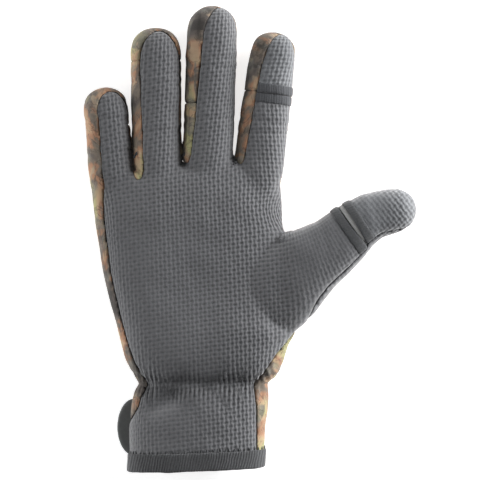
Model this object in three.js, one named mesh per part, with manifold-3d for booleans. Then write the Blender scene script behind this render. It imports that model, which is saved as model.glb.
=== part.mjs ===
// A right-hand fishing glove of thin foam rubber cloth, lying on its back with the palm up.
// The palm side is one grip-cloth panel, the back and the sides of the fingers are printed cloth,
// the tips of the index finger and the thumb fold back at a slit, the wrist is gathered,
// and a strap closes the cuff behind. Millimetres, +Y towards the fingertips, +X towards the thumb,
// +Z out of the palm. The origin is on the flat of the back, under the middle of the palm.
import * as THREE from "three";
import { mergeVertices } from "three/addons/utils/BufferGeometryUtils.js";
import Module from "manifold-3d";

// Cloth and seams
const WALL = 2.4;
const SEAM_GAP = 0.3;
const SEAM_HEIGHT = 10.5; // of the side seam between the palm and the back, over the resting plane
const BACK_SEAM_DROP = 6; // from the side seam down to the seam between a sidewall and the back

// The hand
const PALM_LENGTH = 160;
const PALM_WIDTH = 100;
const PALM_DEPTH = 33;
const PALM_TOP_EDGE = 44; // how far the palm's upper end lies beyond the origin

// The fingers
const FINGER_LENGTH = 90.8; // the middle finger's, from root to tip
const FINGER_WIDTH = 27;
const FINGER_DEPTH = 23;
const FINGER_OVERLAP = 24; // how far a finger's tube runs on inside the palm
const ROOT_TAPER = 0.4; // and how much it narrows there
const FINGER_LIFT = 4; // a fingertip's rise off the resting plane

// The thumb
const THUMB_LENGTH = 98;
const THUMB_WIDTH = 27.4;
const THUMB_DEPTH = 25;
const THUMB_ROOT = { x: 0.387, along: 0.54 }; // shares of PALM_WIDTH, and of PALM_LENGTH from the hem
const THUMB_LIFT = 9.5;

// The fold-back tips
const SLIT_GAP = 1.4;
const SLIT_HEM_WIDTH = 3.4;
const CAP_FLARE = 0.6;
const HEM_STANDS_PROUD = 0.35;
const FACING_SINK = 0.5; // below the panel's surface
const FACING_WIDTH = 1.6;

// The cuff
const HEM_TAPE = 1.1;
const HEM_WIDTH = 8.2;
const HEM_SLANT = 2; // degrees
const PLEAT_DEPTH = 0.9;
const PLEAT_REACH = 5;

// The strap behind the cuff
const STRAP_THICKNESS = 2.2;
const STRAP_WIDTH = 31;
const STRAP_RISE = 19.8; // its centre line's distance from the hem
const STRAP_END = 9.2; // how far its rounded end stands out of the straight part
const STRAP_SPAN = { left: -0.306, right: 0.22 }; // the straight part's ends, as shares of PALM_WIDTH
const STRAP_FOLD = 12; // the length of the sewn end, folded double
const STRAP_CLEARANCE = 0.8; // between the folded end and the hem's binding
const PATCH = { left: 0.16, right: 0.51, margin: 4.5, thickness: 1 }; // left and right: shares of the span
const CUFF_LIFT = STRAP_THICKNESS + PATCH.thickness + 2 * SEAM_GAP;

// Section shape
const OUTER_SIDES = 20;
const INNER_SIDES = 12;
const PALM_OUTER_SIDES = 44;
const PALM_INNER_SIDES = 20;
const ROUNDNESS = 2.3; // the superellipse's exponent
const FLATTENING = 1.12; // how far a section would sink if the resting plane let it
const SLAB_SPARE = 3; // a slab's width past the finger that it cuts
const FAR = 200; // a cutter's reach past the glove

// The palm's sections from the hem to the knuckles. along is a share of PALM_LENGTH, top and lift
// of PALM_DEPTH, left, right and the two seams of PALM_WIDTH. turn is a slanted section's degrees.
const CUFF = CUFF_LIFT / PALM_DEPTH;
const PALM_SECTIONS = [
  { along: 0.0, left: -0.322, right: 0.389, top: 1.08, lift: CUFF, seamLeft: -0.37, seamRight: 0.357 },
  { along: 0.06, left: -0.322, right: 0.396, top: 1.07, lift: CUFF, seamLeft: -0.36, seamRight: 0.357 },
  { along: 0.13, left: -0.322, right: 0.4, top: 1.05, lift: CUFF, seamLeft: -0.34, seamRight: 0.355 },
  { along: 0.19, left: -0.316, right: 0.416, top: 1.02, lift: CUFF, seamLeft: -0.28, seamRight: 0.354 },
  { along: 0.235, left: -0.302, right: 0.415, top: 0.96, lift: CUFF, seamLeft: -0.255, seamRight: 0.348 },
  { along: 0.277, left: -0.275, right: 0.416, top: 0.87, lift: CUFF, seamLeft: -0.226, seamRight: 0.346 },
  { along: 0.31, left: -0.29, right: 0.466, top: 0.92, lift: 0.07, seamLeft: -0.253, seamRight: 0.384 },
  { along: 0.357, left: -0.344, right: 0.505, top: 0.99, lift: 0.03, seamLeft: -0.296, seamRight: 0.441 },
  { along: 0.41, left: -0.368, right: 0.527, top: 1.0, lift: 0, seamLeft: -0.328, seamRight: 0.505 },
  { along: 0.452, left: -0.384, right: 0.568, top: 0.99, lift: 0, seamLeft: -0.346, seamRight: 0.56 },
  { along: 0.487, left: -0.398, right: 0.53, top: 0.97, lift: 0, seamLeft: -0.361, seamRight: 0.625 },
  { along: 0.593, left: -0.444, right: 0.515, top: 0.92, lift: 0, seamLeft: -0.403, seamRight: 0.71 },
  { along: 0.755, left: -0.495, right: 0.524, top: 0.86, lift: 0, seamLeft: -0.446, seamRight: 0.58 },
  { along: 0.82, left: -0.508, right: 0.499, top: 0.83, lift: 0, seamLeft: -0.456, seamRight: 0.54 },
  { along: 0.91, left: -0.525, right: 0.493, top: 0.76, lift: 0, seamLeft: -0.465, seamRight: 0.54, turn: 3 },
  { along: 0.955, left: -0.528, right: 0.49, top: 0.72, lift: 0, seamLeft: -0.466, seamRight: 0.54, turn: 5 },
];
// The rounded closing of the palm between the fingers: shares of the last section's size.
const KNUCKLE_END = [
  { along: 0.98, width: 0.985, depth: 0.9 },
  { along: 1.0, width: 0.96, depth: 0.7 },
  { along: 1.012, width: 0.92, depth: 0.36 },
];

// The fingers. x is a share of PALM_WIDTH and along of PALM_LENGTH from the hem, both at the root.
// length, depth and the widths are shares of FINGER_LENGTH, FINGER_DEPTH and FINGER_WIDTH, and lean
// is in degrees towards the thumb. The seams are shares of the half width from the tube's middle.
// seamTop is the panel's distance from the tip, seamArc the length of its rounded end and slit the
// slit's distance from the tip, all shares of the tip's width. sidewall is the share of the length
// that a sidewall between two fingers reaches.
const FINGERS = {
  little: {
    x: -0.411, along: 0.927, lean: -5.5,
    length: 0.61, rootWidth: 0.912, tipWidth: 0.852, depth: 0.891,
    seamRoot: -0.4, seamTip: -0.36, seamRight: 0.94, seamTop: 0.117, seamArc: 0.478,
    slit: 0, sidewall: 0.62,
  },
  ring: {
    x: -0.175, along: 0.96, lean: -0.8,
    length: 0.903, rootWidth: 0.963, tipWidth: 0.996, depth: 0.978,
    seamRoot: -0.52, seamTip: -0.62, seamRight: 0.93, seamTop: 0.085, seamArc: 0.66,
    slit: 0, sidewall: 0.78,
  },
  middle: {
    x: 0.092, along: 0.977, lean: 2.1,
    length: 1, rootWidth: 0.997, tipWidth: 0.993, depth: 1,
    seamRoot: -0.76, seamTip: -0.37, seamRight: 1.08, seamTop: 0.022, seamArc: 0.82,
    slit: 0, sidewall: 0.42,
  },
  index: {
    x: 0.356, along: 0.944, lean: 7.3,
    length: 0.911, rootWidth: 1.02, tipWidth: 0.867, depth: 0.957,
    seamRoot: -0.72, seamTip: -0.42, seamRight: 1.08, seamTop: 0.026, seamArc: 0.983,
    slit: 1.427, sidewall: 0.6,
  },
};
const CROTCHES = {
  little_ring: { x: -0.276, along: 0.96 },
  ring_middle: { x: -0.02, along: 1.015 },
  middle_index: { x: 0.272, along: 1.014 },
};
const NOTCH_DEPTH = 7;
const NOTCH_RADIUS = 1.8;
const NOTCH_ARC = [20, 55, 90, 125, 160]; // degrees, round the notch's lower end
const NOTCH_LAP = 0.05; // how far the notch's sides reach past the seams, as a share of the half width
const STRIP_START = 12; // how far below a finger's root its part of the panel's outline starts
const SIDEWALL_START = 9; // how far below the roots a sidewall starts
const SIDEWALL_SPARE = 1.08; // its zone's reach across a finger, as a share of the half width
const STRIP_ARC = [0, 20, 40, 60, 75, 90, 105, 120, 140, 160, 180]; // degrees, round the strip's end
const DOME_ANGLES = [25, 46, 65, 81]; // degrees, the rings of a rounded tip
const TIP_SQUARENESS = 0.9; // 1 is round, less is squarer

// The thumb's sections: places as shares of THUMB_LENGTH from its root, heading in degrees from +X,
// width as a share of THUMB_WIDTH, top and bottom of THUMB_DEPTH from its middle line, rise of
// THUMB_LIFT, seam of the half width.
const THUMB_SECTIONS = [
  { x: -0.2, y: -0.17, heading: 44, width: 1.2, top: 0.16, bottom: 0.2, rise: 0.3, seam: 0.85 },
  { x: -0.06, y: -0.05, heading: 43, width: 1.62, top: 0.44, bottom: 0.5, rise: 0.4, seam: 0.85 },
  { x: 0.06, y: 0.055, heading: 42, width: 1.66, top: 0.56, bottom: 0.6, rise: 0.45, seam: 0.85 },
  { x: 0.153, y: 0.137, heading: 40, width: 1.57, top: 0.6, bottom: 0.62, rise: 0.5, seam: 0.85 },
  { x: 0.265, y: 0.246, heading: 38.7, width: 1.41, top: 0.6, bottom: 0.62, rise: 0.62, seam: 0.85 },
  { x: 0.391, y: 0.322, heading: 36, width: 1.165, top: 0.55, bottom: 0.56, rise: 0.75, seam: 0.83 },
  { x: 0.484, y: 0.404, heading: 34.5, width: 1.078, top: 0.51, bottom: 0.51, rise: 0.9, seam: 0.83 },
  { x: 0.524, y: 0.44, heading: 33, width: 0.965, top: 0.5, bottom: 0.5, rise: 0.95, seam: 0.8 },
  { x: 0.602, y: 0.489, heading: 28, width: 0.9, top: 0.5, bottom: 0.5, rise: 1, seam: 0.8 },
  { x: 0.708, y: 0.515, heading: 12, width: 0.86, top: 0.49, bottom: 0.49, rise: 1.05, seam: 0.85 },
];
const THUMB_MIDDLE = 12.5; // its middle line's height before the lift
const CAP_START = 7; // the first section of the fold-back tip
const THUMB_TIP_REACH = 1.09; // the rounded tip's length, as a share of its half width
const THUMB_SLIT = 0.5; // the slit's place between that section and the one before it, as a share

// Soft hollows and swellings of the palm's surface: x and reachX are shares of PALM_WIDTH, along and
// reachY of PALM_LENGTH from the hem, and sink of PALM_DEPTH. A swelling sinks by less than nothing.
const DENTS = [
  { name: "palm_hollow", x: 0.02, along: 0.66, reachX: 0.26, reachY: 0.19, sink: 0.1 },
  { name: "thumb_mound", x: 0.36, along: 0.5, reachX: 0.22, reachY: 0.16, sink: -0.07 },
  { name: "little_side_mound", x: -0.27, along: 0.5, reachX: 0.16, reachY: 0.21, sink: -0.035 },
  { name: "cuff_fold", x: -0.18, along: 0.215, reachX: 0.14, reachY: 0.04, sink: 0.055 },
  { name: "thumb_crease", x: 0.5, along: 0.66, reachX: 0.07, reachY: 0.14, sink: 0.06 },
];

const wasm = await Module();
wasm.setup();
const { Manifold, Mesh } = wasm;
const radians = THREE.MathUtils.degToRad;
const lerp = THREE.MathUtils.lerp;
const HEM_Y = PALM_TOP_EDGE - PALM_LENGTH;

// Solids from geometry, and back
function solidOf(geometry) {
  const bare = geometry.clone();
  bare.deleteAttribute("normal");
  bare.deleteAttribute("uv");
  const merged = mergeVertices(bare, 1e-4);
  return new Manifold(
    new Mesh({
      numProp: 3,
      vertProperties: new Float32Array(merged.attributes.position.array),
      triVerts: new Uint32Array(merged.index.array),
    }),
  );
}

function geometryOf(solid) {
  const mesh = solid.getMesh();
  const geometry = new THREE.BufferGeometry();
  geometry.setAttribute("position", new THREE.BufferAttribute(mesh.vertProperties, 3));
  geometry.setIndex(new THREE.BufferAttribute(mesh.triVerts, 1));
  geometry.computeVertexNormals();
  return geometry;
}

function unite(solids) {
  return solids.reduce((whole, solid) => whole.add(solid));
}

// The biggest body of a cut solid: a cut along a seam can leave crumbs that no panel has.
function mainBody(solid) {
  const { vertProperties: points, triVerts: corners } = solid.getMesh();
  const owner = Array.from({ length: points.length / 3 }, (_, i) => i);
  const rootOf = (i) => {
    while (owner[i] !== i) i = owner[i] = owner[owner[i]];
    return i;
  };
  const triangles = Array.from({ length: corners.length / 3 }, (_, t) => [
    ...corners.slice(3 * t, 3 * t + 3),
  ]);
  for (const [a, b, c] of triangles) {
    owner[rootOf(b)] = rootOf(a);
    owner[rootOf(c)] = rootOf(a);
  }
  const pointAt = (i) => new THREE.Vector3().fromArray(points, 3 * i);
  const volumes = new Map();
  for (const [a, b, c] of triangles) {
    const body = rootOf(a);
    const wedge = pointAt(a).dot(pointAt(b).cross(pointAt(c))) / 6;
    volumes.set(body, (volumes.get(body) ?? 0) + wedge);
  }
  const biggest = [...volumes.keys()].reduce((best, body) =>
    volumes.get(body) > volumes.get(best) ? body : best,
  );
  const geometry = new THREE.BufferGeometry();
  geometry.setAttribute("position", new THREE.BufferAttribute(points, 3));
  geometry.setIndex(triangles.filter(([a]) => rootOf(a) === biggest).flat());
  return solidOf(geometry.toNonIndexed());
}

// A closed skin over rings of points, with a point closing each end.
function skin(rings, startPoint, endPoint) {
  const count = rings[0].length;
  const points = [...rings.flat(), startPoint, endPoint];
  const faces = [];
  const start = points.length - 2;
  const end = points.length - 1;
  const lastRing = (rings.length - 1) * count;
  for (let i = 0; i < count; i++) {
    const next = (i + 1) % count;
    faces.push(start, i, next);
    faces.push(end, lastRing + next, lastRing + i);
    for (let ring = 0; ring < lastRing; ring += count) {
      faces.push(ring + i, ring + count + next, ring + next);
      faces.push(ring + i, ring + count + i, ring + count + next);
    }
  }
  const geometry = new THREE.BufferGeometry().setFromPoints(points);
  geometry.setIndex(faces);
  return geometry;
}

// One section's ring: a superellipse that stands upright across its heading, flat where it meets
// the plane it rests on.
function ringOf(section, sides, shapeTop) {
  const { x, y, z, heading, half, top, bottom } = section;
  const across = new THREE.Vector3(Math.sin(heading), -Math.cos(heading), 0);
  return Array.from({ length: sides }, (_, i) => {
    const turn = (2 * Math.PI * i) / sides;
    const side = Math.sign(Math.cos(turn)) * Math.abs(Math.cos(turn)) ** (2 / ROUNDNESS);
    const height = Math.sign(Math.sin(turn)) * Math.abs(Math.sin(turn)) ** (2 / ROUNDNESS);
    const point = new THREE.Vector3(x, y, z).addScaledVector(across, half * side);
    if (height > 1e-6) point.z += top * height + shapeTop(point, height, i);
    else point.z += Math.max(bottom * FLATTENING * height, -bottom);
    return point;
  });
}

function loft(sections, sides, shapeTop = () => 0) {
  const rings = sections.map((section) => ringOf(section, sides, shapeTop));
  const first = sections[0];
  const last = sections[sections.length - 1];
  const tip = last.tip ?? last;
  return solidOf(
    skin(rings, new THREE.Vector3(first.x, first.y, first.z), new THREE.Vector3(tip.x, tip.y, tip.z)),
  );
}

// A section made smaller all round, and lifted on the palm side where a fold-back tip laps over.
function inset(section, by, flare = 0) {
  return {
    ...section,
    half: section.half - by + flare / 2,
    top: section.top - by + flare,
    bottom: section.bottom - by,
  };
}

// A rounded tip that goes on from a section, with the same centre for the outer and the inner skin.
function dome(section, reach, coarse) {
  const ahead = (distance) => ({
    x: section.x + Math.cos(section.heading) * distance,
    y: section.y + Math.sin(section.heading) * distance,
    z: section.z,
  });
  const angles = coarse ? DOME_ANGLES.filter((_, i) => i % 2 === 0) : DOME_ANGLES;
  const rings = angles.map((degrees) => {
    const shrink = Math.cos(radians(degrees)) ** TIP_SQUARENESS;
    return {
      ...section,
      ...ahead(reach * Math.sin(radians(degrees)) ** TIP_SQUARENESS),
      half: section.half * shrink,
      top: section.top * shrink,
      bottom: section.bottom * shrink,
    };
  });
  rings[rings.length - 1].tip = ahead(reach);
  return rings;
}

// The palm and cuff
function palmPoint(row, share) {
  const slant = radians(row.turn ?? 0);
  return {
    x: share * PALM_WIDTH * Math.cos(slant),
    y: HEM_Y + row.along * PALM_LENGTH + share * PALM_WIDTH * Math.sin(slant),
  };
}

function palmSection(row, by) {
  const middle = palmPoint(row, (row.left + row.right) / 2);
  const low = row.lift * PALM_DEPTH;
  const thick = row.top * PALM_DEPTH - low;
  return inset(
    {
      ...middle,
      z: low + 0.45 * thick,
      heading: Math.PI / 2 + radians(row.turn ?? 0),
      half: ((row.right - row.left) / 2) * PALM_WIDTH,
      top: 0.55 * thick,
      bottom: 0.45 * thick,
    },
    by,
  );
}

function palmShape(pleated) {
  return (point, height, index) => {
    const sunk = DENTS.reduce((sum, dent) => {
      const dx = (point.x / PALM_WIDTH - dent.x) / dent.reachX;
      const dy = ((point.y - HEM_Y) / PALM_LENGTH - dent.along) / dent.reachY;
      return sum + dent.sink * PALM_DEPTH * Math.exp(-dx * dx - dy * dy);
    }, 0);
    const wrist = HEM_Y + PALM_SECTIONS[5].along * PALM_LENGTH;
    const gathered = PLEAT_DEPTH * Math.exp(-(((point.y - wrist) / PLEAT_REACH) ** 2));
    const pleat = pleated && index % 2 ? gathered : 0;
    return -(sunk + pleat) * Math.sqrt(height);
  };
}

function palmBody(by, sides) {
  const rows = PALM_SECTIONS.map((row) => palmSection(row, by));
  const open = { ...rows[0], y: rows[0].y - HEM_WIDTH * 2 };
  const last = PALM_SECTIONS[PALM_SECTIONS.length - 1];
  const closing = KNUCKLE_END.map((end) => {
    const section = palmSection({ ...last, along: end.along }, by);
    return {
      ...section,
      y: section.y - by,
      half: section.half * end.width,
      top: section.top * end.depth,
      bottom: section.bottom * end.depth,
    };
  });
  return loft([open, ...rows, ...closing], sides, palmShape(by <= 0));
}

// A finger
function placeOnPalm({ x, along }) {
  return { x: x * PALM_WIDTH, y: HEM_Y + along * PALM_LENGTH };
}

function sizedFinger(row) {
  const tipWidth = row.tipWidth * FINGER_WIDTH;
  return {
    ...row,
    ...placeOnPalm(row),
    lean: radians(row.lean),
    length: row.length * FINGER_LENGTH,
    rootWidth: row.rootWidth * FINGER_WIDTH,
    tipWidth,
    depth: row.depth * FINGER_DEPTH,
    seamTop: row.seamTop * tipWidth,
    seamArc: row.seamArc * tipWidth,
    slit: row.slit * tipWidth,
  };
}
const [little, ring, middle, index] = Object.values(FINGERS).map(sizedFinger);
const fingers = [little, ring, middle, index];

function fingerPoint(finger, distance, acrossShare = 0) {
  const along = THREE.MathUtils.clamp(distance / finger.length, 0, 1);
  const width = lerp(finger.rootWidth, finger.tipWidth, along);
  const across = (acrossShare * width) / 2;
  return {
    x: finger.x + Math.sin(finger.lean) * distance + Math.cos(finger.lean) * across,
    y: finger.y + Math.cos(finger.lean) * distance - Math.sin(finger.lean) * across,
  };
}

function fingerSection(finger, distance, by, flare = 0) {
  const along = THREE.MathUtils.clamp(distance / finger.length, 0, 1);
  const buried = THREE.MathUtils.clamp(-distance / FINGER_OVERLAP, 0, 1);
  const lift = FINGER_LIFT * along * along;
  return inset(
    {
      ...fingerPoint(finger, distance),
      z: finger.depth / 2 + lift,
      heading: Math.PI / 2 - finger.lean,
      half: (lerp(finger.rootWidth, finger.tipWidth, along) / 2) * (1 - ROOT_TAPER * buried),
      top: (finger.depth / 2) * (1 - ROOT_TAPER * buried),
      bottom: (finger.depth / 2) * (1 - ROOT_TAPER * buried),
    },
    by,
    flare,
  );
}

function fingerBody(finger, by, sides) {
  const shoulder = finger.length - finger.tipWidth / 2;
  const slitAt = finger.length - finger.slit;
  const stops = [-FINGER_OVERLAP, -FINGER_OVERLAP / 3, 0.1 * finger.length, 0.45 * finger.length];
  const plain = stops.map((at) => fingerSection(finger, at, by));
  const upper = finger.slit
    ? [
        fingerSection(finger, slitAt - SLIT_GAP / 4, by),
        fingerSection(finger, slitAt + SLIT_GAP / 4, by, CAP_FLARE),
        fingerSection(finger, lerp(slitAt, shoulder, 0.6), by, CAP_FLARE / 2),
      ]
    : [];
  const last = fingerSection(finger, shoulder, by);
  return loft([...plain, ...upper, last, ...dome(last, finger.tipWidth / 2 - by, by > 0)], sides);
}

// The thumb
const thumbRoot = placeOnPalm(THUMB_ROOT);

function thumbSection(row, by, flare = 0) {
  return inset(
    {
      x: thumbRoot.x + row.x * THUMB_LENGTH,
      y: thumbRoot.y + row.y * THUMB_LENGTH,
      z: THUMB_MIDDLE + row.rise * THUMB_LIFT,
      heading: radians(row.heading),
      half: (row.width * THUMB_WIDTH) / 2,
      top: row.top * THUMB_DEPTH,
      bottom: Math.min(row.bottom * THUMB_DEPTH, THUMB_MIDDLE + row.rise * THUMB_LIFT),
    },
    by,
    flare,
  );
}

function blendRows(a, b, share) {
  return Object.fromEntries(Object.keys(a).map((key) => [key, lerp(a[key], b[key], share)]));
}

const THUMB_SLIT_ROW = blendRows(THUMB_SECTIONS[CAP_START - 1], THUMB_SECTIONS[CAP_START], THUMB_SLIT);

function thumbBody(by, sides) {
  const below = THUMB_SECTIONS.slice(0, CAP_START).map((row) => thumbSection(row, by));
  const beyond = THUMB_SECTIONS.slice(CAP_START).map((row, i) =>
    thumbSection(row, by, i < 2 ? CAP_FLARE / (i + 1) : 0),
  );
  const heading = radians(THUMB_SLIT_ROW.heading);
  const step = (side, flare) => {
    const section = thumbSection(THUMB_SLIT_ROW, by, flare);
    section.x += (side * Math.cos(heading) * SLIT_GAP) / 4;
    section.y += (side * Math.sin(heading) * SLIT_GAP) / 4;
    return section;
  };
  const last = beyond[beyond.length - 1];
  const reach = (THUMB_TIP_REACH * THUMB_SECTIONS.at(-1).width * THUMB_WIDTH) / 2 - by;
  return loft([...below, step(-1, 0), step(1, CAP_FLARE), ...beyond, ...dome(last, reach, by > 0)], sides);
}

// The whole hand's form, by millimetres smaller all round
function handForm(by, coarse) {
  const sides = coarse ? INNER_SIDES : OUTER_SIDES;
  return unite([
    palmBody(by, coarse ? PALM_INNER_SIDES : PALM_OUTER_SIDES),
    ...fingers.map((finger) => fingerBody(finger, by, sides)),
    thumbBody(by, sides + 4),
  ]);
}

// Cutters
function boxAt({ x, y, z }, size, heading = 0) {
  const geometry = new THREE.BoxGeometry(size.x, size.y, size.z);
  geometry.rotateZ(heading);
  geometry.translate(x, y, z);
  return solidOf(geometry);
}

function standingPrism(points) {
  const shape = new THREE.Shape(points.map(({ x, y }) => new THREE.Vector2(x, y)));
  const geometry = new THREE.ExtrudeGeometry(shape, { depth: 2 * FAR, bevelEnabled: false });
  geometry.translate(0, 0, -FAR);
  return solidOf(geometry);
}

// The half of space above the side seam, whose height follows the lifted fingers and thumb.
function aboveSeam(shift) {
  const columns = 14;
  const geometry = new THREE.BoxGeometry(2 * FAR, 2 * FAR, FAR, columns * 2, columns * 2, 1);
  const place = geometry.attributes.position;
  for (let i = 0; i < place.count; i++) {
    if (place.getZ(i) > 0) continue;
    const thumbward = THREE.MathUtils.smoothstep(place.getX(i), PALM_WIDTH * 0.45, PALM_WIDTH * 0.9);
    const tipward = THREE.MathUtils.smoothstep(place.getY(i), PALM_TOP_EDGE, PALM_TOP_EDGE + PALM_WIDTH);
    const thumbRow = place.getY(i) < PALM_TOP_EDGE ? thumbward : 0;
    place.setZ(i, SEAM_HEIGHT + shift + THUMB_LIFT * thumbRow + FINGER_LIFT * tipward - FAR / 2);
  }
  geometry.translate(0, 0, FAR / 2);
  return solidOf(geometry);
}

// The left seam's place across a finger, as a share of the half width, at a distance from its root.
function leftSeam(finger, distance) {
  const shoulder = finger.length - finger.seamTop - finger.seamArc;
  return lerp(finger.seamRoot, finger.seamTip, (distance + STRIP_START) / (shoulder + STRIP_START));
}

// The panel's outline over one finger: a strip along it with a rounded end.
function fingerStrip(finger, grow) {
  const shareGrow = grow / (finger.tipWidth / 2);
  const left = finger.seamTip - shareGrow;
  const right = finger.seamRight + shareGrow;
  const shoulder = finger.length - finger.seamTop - finger.seamArc + grow;
  const arc = STRIP_ARC.map((degrees) => {
    const across = (left + right) / 2 + ((right - left) / 2) * Math.cos(radians(degrees));
    return fingerPoint(finger, shoulder + finger.seamArc * Math.sin(radians(degrees)), across);
  });
  const start = [leftSeam(finger, -STRIP_START) - shareGrow, right];
  return [...start.map((share) => fingerPoint(finger, -STRIP_START, share)), ...arc];
}

// Where the panel's slot between two fingers ends: a round notch between the seams on both sides of it.
function notch(a, b, crotch, grow) {
  const { x, y } = placeOnPalm(crotch);
  const [reachA, reachB] = [a, b].map((finger) => (y + NOTCH_DEPTH - finger.y) / Math.cos(finger.lean));
  const bottom = NOTCH_ARC.map((degrees) => ({
    x: x - NOTCH_RADIUS * Math.cos(radians(degrees)),
    y: y + grow + NOTCH_RADIUS * (1 - Math.sin(radians(degrees))),
  }));
  return [
    fingerPoint(a, reachA, a.seamRight - NOTCH_LAP),
    ...bottom,
    fingerPoint(b, reachB, leftSeam(b, reachB) + NOTCH_LAP),
  ];
}

function palmOutline(grow) {
  const rows = PALM_SECTIONS;
  const leftEdge = rows.map((row) => palmPoint(row, row.seamLeft - grow / PALM_WIDTH));
  const rightEdge = rows.map((row) => palmPoint(row, row.seamRight + grow / PALM_WIDTH));
  const crotches = [
    ...notch(little, ring, CROTCHES.little_ring, grow),
    ...notch(ring, middle, CROTCHES.ring_middle, grow),
    ...notch(middle, index, CROTCHES.middle_index, grow),
  ];
  const below = (edge) => [{ x: edge[0].x, y: edge[0].y - HEM_WIDTH }, ...edge];
  return [...below(leftEdge).reverse(), ...below(rightEdge), ...crotches.reverse()];
}

function thumbOutline(grow) {
  const edge = (shareOf) =>
    THUMB_SECTIONS.map((row) => {
      const heading = radians(row.heading);
      const across = (shareOf(row) * row.width * THUMB_WIDTH) / 2;
      return {
        x: thumbRoot.x + row.x * THUMB_LENGTH + Math.sin(heading) * across,
        y: thumbRoot.y + row.y * THUMB_LENGTH - Math.cos(heading) * across,
      };
    });
  const share = grow / (THUMB_WIDTH / 2);
  const last = THUMB_SECTIONS[THUMB_SECTIONS.length - 1];
  const radius = ((last.width * THUMB_WIDTH) / 2) * 1.12 + grow;
  const tip = [-50, -25, 0, 25, 50, 75].map((degrees) => {
    const turn = radians(last.heading + degrees);
    return {
      x: thumbRoot.x + last.x * THUMB_LENGTH + Math.cos(turn) * radius,
      y: thumbRoot.y + last.y * THUMB_LENGTH + Math.sin(turn) * radius,
    };
  });
  const lower = edge((row) => row.seam + share);
  const upper = edge(() => -1.12 - share);
  return [...lower, ...tip, ...upper.reverse()];
}

// All that the grip cloth covers: the palm, the finger fronts and the thumb's front, above the side seam.
function gripSide(grow) {
  return unite([
    standingPrism(palmOutline(grow)),
    standingPrism(thumbOutline(grow)),
    ...fingers.map((finger) => standingPrism(fingerStrip(finger, grow))),
  ]).intersect(aboveSeam(-grow));
}

// Where two fingers' facing sides are one sidewall strip.
function sidewallZone(a, b, grow) {
  const endOn = (finger, across) => fingerPoint(finger, finger.sidewall * finger.length + grow, across);
  const points = [
    fingerPoint(a, -SIDEWALL_START - grow),
    fingerPoint(b, -SIDEWALL_START - grow),
    endOn(b, 0),
    endOn(b, -SIDEWALL_SPARE),
    endOn(a, SIDEWALL_SPARE),
    endOn(a, 0),
  ];
  return standingPrism(points).intersect(aboveSeam(-BACK_SEAM_DROP - grow));
}

// A slab across a fold-back tip's axis between two distances from its slit.
function slab(tip, from, to) {
  const middle = (from + to) / 2;
  const centre = {
    x: tip.x + Math.cos(tip.heading) * middle,
    y: tip.y + Math.sin(tip.heading) * middle,
    z: 0,
  };
  return boxAt(centre, { x: to - from, y: 2 * tip.half + SLAB_SPARE, z: FAR }, tip.heading);
}

// The cuff's hem
function hemSlab(from, to) {
  const slant = radians(-HEM_SLANT);
  const middle = HEM_Y + (from + to) / 2;
  return boxAt({ x: 0, y: middle, z: 0 }, { x: FAR, y: to - from, z: FAR }, -slant);
}

const outer = handForm(0, false);
const hollow = handForm(WALL, true);
const belowHem = hemSlab(-FAR, 0);
const shell = outer.subtract(hollow).subtract(belowHem);

const front = shell.intersect(gripSide(-SEAM_GAP / 2));
const behind = shell.subtract(gripSide(SEAM_GAP / 2));

const pairs = [
  ["sidewall_little_ring", little, ring],
  ["sidewall_ring_middle", ring, middle],
  ["sidewall_middle_index", middle, index],
];
const sidewalls = Object.fromEntries(
  pairs.map(([name, a, b]) => [name, mainBody(behind.intersect(sidewallZone(a, b, -SEAM_GAP / 2)))]),
);
const backPanel = mainBody(
  pairs.reduce((rest, [, a, b]) => rest.subtract(sidewallZone(a, b, SEAM_GAP / 2)), behind),
);

// The fold-back tips: a cap beyond the slit, a hem on each side of it, and the panel short of it.
const proud = handForm(-HEM_STANDS_PROUD, false).subtract(hollow).intersect(gripSide(-SEAM_GAP / 2));
function foldBackTip(tip, gap, reach) {
  const half = gap / 2;
  const hemEnd = half + SLIT_HEM_WIDTH;
  return {
    zone: slab(tip, -hemEnd - SEAM_GAP, reach),
    cap: front.intersect(slab(tip, hemEnd + SEAM_GAP, reach)),
    capHem: proud.intersect(slab(tip, half, hemEnd)),
    slitHem: proud.intersect(slab(tip, -hemEnd, -half)),
  };
}
const indexSlit = fingerSection(index, index.length - index.slit, 0);
const indexTip = foldBackTip(indexSlit, SLIT_GAP, index.slit + index.tipWidth);
const thumbSlit = thumbSection(THUMB_SLIT_ROW, 0);
const thumbGap = SLIT_GAP + FACING_WIDTH + SEAM_GAP;
const thumbTip = foldBackTip(thumbSlit, thumbGap, THUMB_LENGTH / 2);
const palmPanel = mainBody(front.subtract(indexTip.zone).subtract(thumbTip.zone));

// The light edge of the thumb cap's lining, which shows in the slit beside the cap's hem
const facingEnd = thumbGap / 2 - SEAM_GAP;
const facing = handForm(FACING_SINK, false)
  .subtract(hollow)
  .intersect(gripSide(-SEAM_GAP / 2))
  .intersect(slab(thumbSlit, facingEnd - FACING_WIDTH, facingEnd));

// The binding: a tape folded round the hem, hollow for the cloth's edge.
const tapeOut = SEAM_GAP + HEM_TAPE;
const binding = palmBody(-tapeOut, PALM_OUTER_SIDES)
  .subtract(palmBody(WALL + tapeOut, PALM_INNER_SIDES))
  .subtract(
    palmBody(-SEAM_GAP, PALM_OUTER_SIDES)
      .subtract(palmBody(WALL + SEAM_GAP, PALM_INNER_SIDES))
      .subtract(hemSlab(-FAR, -SEAM_GAP)),
  )
  .intersect(hemSlab(-tapeOut, HEM_WIDTH));

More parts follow.
